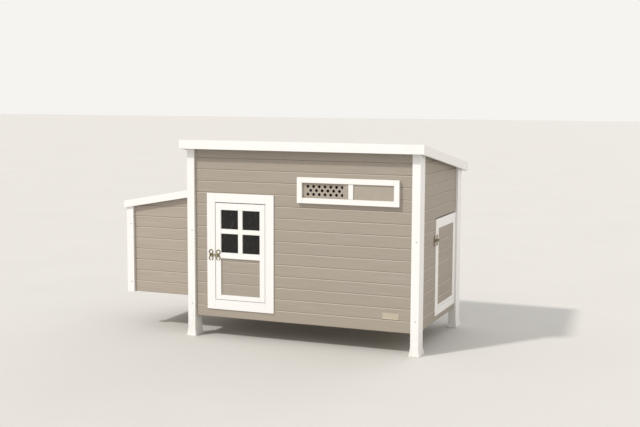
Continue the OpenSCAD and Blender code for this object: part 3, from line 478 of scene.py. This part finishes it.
def add_screw(shape, at, out, size):
    """Adds to shape the head of a screw with a six-lobed recess, seated at a point."""
    radius, height = size
    crown = radius * 0.62
    rim = radius * 0.14
    draft = radius * 0.02
    recess = height * 0.6
    turned = Vector((0, 0, 1)).rotation_difference(out).to_matrix().to_4x4()
    place = Matrix.Translation(at + out * height / 2) @ turned
    made = bmesh.ops.create_cone(
        shape,
        cap_ends=True,
        segments=SCREW_SIDES,
        radius1=radius,
        radius2=crown,
        depth=height,
        matrix=place,
    )
    faces = {face for vert in made["verts"] for face in vert.link_faces}
    top = max(faces, key=lambda face: face.normal.dot(out))
    bmesh.ops.inset_individual(shape, faces=[top], thickness=rim)
    middle = top.calc_center_median()
    for index, vert in enumerate(top.verts):
        lobe = 0.72 + 0.22 * math.cos(index / SCREW_SIDES * SCREW_LOBES * math.tau)
        vert.co = middle + (vert.co - middle) * lobe
    bmesh.ops.inset_individual(shape, faces=[top], thickness=draft, depth=-recess)


def screws(name, body, material, size, spots):
    """A piece that holds the screw heads of one kind, at (point, direction) spots."""
    shape = bmesh.new()
    for at, out in spots:
        add_screw(shape, at, out, size)
    bmesh.ops.recalc_face_normals(shape, faces=shape.faces)
    mesh = bpy.data.meshes.new(name)
    shape.to_mesh(mesh)
    shape.free()
    mesh.materials.append(material)
    piece = bpy.data.objects.new(name, mesh)
    bpy.context.scene.collection.objects.link(piece)
    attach(piece, body)
    return piece


X = 0
Y = 1
FRONT = Vector((0, -1, 0))
REAR = Vector((0, 1, 0))
SIDE = Vector((1, 0, 0))
LEFT = Vector((-1, 0, 0))


def post_screw_spots():
    """Where each frame screw's head seats on its post."""
    spots = []
    for low, high in islands("frame_screws"):
        out = FRONT if low.y < 0 else REAR
        seat = low.y + FRAME_SCREW[1] if out is FRONT else high.y - FRAME_SCREW[1]
        spots.append((Vector(((low.x + high.x) / 2, seat, (low.z + high.z) / 2)), out))
    return spots


def plate_screw_spots(name, out):
    """Four screws on a latch plate, one on each side of both its loops."""
    low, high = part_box(name)
    across = Vector((0, 0, 1)).cross(out)
    middle = (low + high) / 2
    if out is FRONT:
        middle.y = high.y - PLATE_T
    else:
        middle.x = low.x + PLATE_T
    spots = []
    for side in (-1, 1):
        for end in (-1, 1):
            at = middle + across * PLATE_ACROSS * side + Vector((0, 0, PLATE_UP * end))
            spots.append((at, out))
    return spots


frame_heads = screws(
    "frame_screw_heads", "cabin", zinc, FRAME_SCREW, post_screw_spots()
)
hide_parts("frame_screws")
for name, body, out in (
    ("front_latch_keeper", "cabin", FRONT),
    ("front_latch_plate", "front_door", FRONT),
    ("side_latch_keeper", "cabin", SIDE),
    ("side_latch_plate", "side_door", SIDE),
):
    spots = plate_screw_spots(name, out)
    screws(name + "_screws", body, brass, PLATE_SCREW, spots)


def sloping_top(name, axis):
    """A node's flat sloping top: where it starts, its height there, its climb, and its normal."""
    low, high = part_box(name)
    ends = []
    for place in (low[axis], high[axis]):
        corners = nodes[name].data.vertices
        ends.append(max(v.co.z for v in corners if abs(v.co[axis] - place) < AT_END))
    climb = (ends[1] - ends[0]) / (high[axis] - low[axis])
    normal = Vector((0, 0, 1))
    normal[axis] = -climb
    return low[axis], ends[0], climb, normal.normalized()


def lid_flap_screw_spots():
    """Three screws on each flap that lies on the nest lid, which climbs towards the cabin."""
    spots = []
    outer, height, climb, normal = sloping_top("nest_lid_edging", X)
    for low, high in islands("nest_hinge_lid_flaps"):
        x = low.x + LID_FLAP_IN
        z = height + (x - outer) * climb
        for share in FLAP_SHARES:
            y = low.y + share * (high.y - low.y)
            spots.append((Vector((x, y, z)) + normal * FLAP_T, normal))
    return spots


def wall_flap_screw_spots():
    """Three screws on each flap that stands against the cabin wall."""
    spots = []
    for low, high in islands("nest_hinge_wall_flaps"):
        for share in FLAP_SHARES:
            y = low.y + share * (high.y - low.y)
            spots.append((Vector((high.x - FLAP_T, y, high.z - WALL_FLAP_DOWN)), LEFT))
    return spots


def roof_screw_spots():
    """Two screws through each roof board into each top rail."""
    spots = []
    front, height, climb, normal = sloping_top("roof_boards", Y)
    for rail_low, rail_high in islands("top_rails"):
        y = (rail_low.y + rail_high.y) / 2
        z = height + (y - front) * climb
        for low, high in islands("roof_boards"):
            for share in ROOF_SHARES:
                x = low.x + share * (high.x - low.x)
                spots.append((Vector((x, y, z)), normal))
    return spots


screws("lid_flap_screws", "nest_lid", zinc, HINGE_SCREW, lid_flap_screw_spots())
screws("wall_flap_screws", "cabin", zinc, HINGE_SCREW, wall_flap_screw_spots())
screws("roof_screws", "cabin", zinc, ROOF_SCREW, roof_screw_spots())


# ---- floor, light and camera ----


# in metres: half the width of the floor, the camera's place, and how far it sees
FLOOR_REACH = 60.0
CAMERA_AT = (2.5426, -5.9747, 1.4218)
SEES_TO = 200.0
# in millimetres, as cameras give it
SENSOR_W = 36.0


def pale_floor():
    """A wide plain floor of matt paint, a little cloudy; not part of the coop."""
    shape = bmesh.new()
    bmesh.ops.create_grid(shape, x_segments=1, y_segments=1, size=FLOOR_REACH)
    mesh = bpy.data.meshes.new("pale_floor")
    shape.to_mesh(mesh)
    shape.free()
    made, tree, shader, place = finish_of("pale_floor_paint", {"Roughness": 0.8})
    clouds = noise(tree, place, [800 * MM] * 3, 3.0, 0.5)
    tree.links.new(mixed(tree, clouds, "bdbcb9", "c3c2bf"), shader.inputs["Base Color"])
    mesh.materials.append(made)
    floor = bpy.data.objects.new("pale_floor", mesh)
    bpy.context.scene.collection.objects.link(floor)


def soft_sun(name, towards, strength, spread, colour):
    """A far lamp that shines in the given direction, with soft shadows."""
    lamp = bpy.data.lights.new(name, "SUN")
    lamp.energy = strength
    lamp.angle = math.radians(spread)
    lamp.color = srgb(colour)[:3]
    holder = bpy.data.objects.new(name, lamp)
    holder.rotation_euler = Vector(towards).to_track_quat("-Z", "Y").to_euler()
    bpy.context.scene.collection.objects.link(holder)


def pale_sky(strength):
    """Even light from all round."""
    world = bpy.data.worlds.new("pale_sky")
    world.use_nodes = True
    tree = world.node_tree
    tree.nodes.clear()
    glow = add(tree, "Background", {"Color": srgb("fffdfa"), "Strength": strength})
    add(tree, "OutputWorld", links={"Surface": glow.outputs["Background"]})
    bpy.context.scene.world = world


def set_camera(at, yaw, pitch, roll, lens):
    """Camera at a point, turned by angles in degrees: left from +Y, down, and clockwise."""
    yaw, pitch, roll = (math.radians(angle) for angle in (yaw, pitch, roll))
    level = math.cos(pitch)
    forward = Vector((-math.sin(yaw) * level, math.cos(yaw) * level, -math.sin(pitch)))
    right = forward.cross(Vector((0, 0, 1))).normalized()
    up = right.cross(forward)
    tilted = right * math.cos(roll) + up * math.sin(roll)
    raised = up * math.cos(roll) - right * math.sin(roll)
    turned = Matrix((tilted, raised, -forward)).transposed().to_4x4()
    camera = bpy.data.cameras.new("camera")
    camera.lens = lens
    camera.sensor_width = SENSOR_W
    camera.clip_end = SEES_TO
    holder = bpy.data.objects.new("camera", camera)
    holder.matrix_world = Matrix.Translation(at) @ turned
    bpy.context.scene.collection.objects.link(holder)
    bpy.context.scene.camera = holder


pale_floor()
pale_sky(0.92)
soft_sun("key_light", (0.50, 0.66, -0.88), 2.36, 4.0, "fffaf3")
soft_sun("warm_side_light", (-0.92, 0.10, -0.25), 0.18, 40.0, "ffd07a")
soft_sun("rear_light", (-0.25, -0.85, -0.5), 0.45, 40.0, "f6f8ff")
set_camera(CAMERA_AT, yaw=21.54, pitch=6.28, roll=0.25, lens=60.0)
bpy.context.scene.view_settings.view_transform = "Standard"
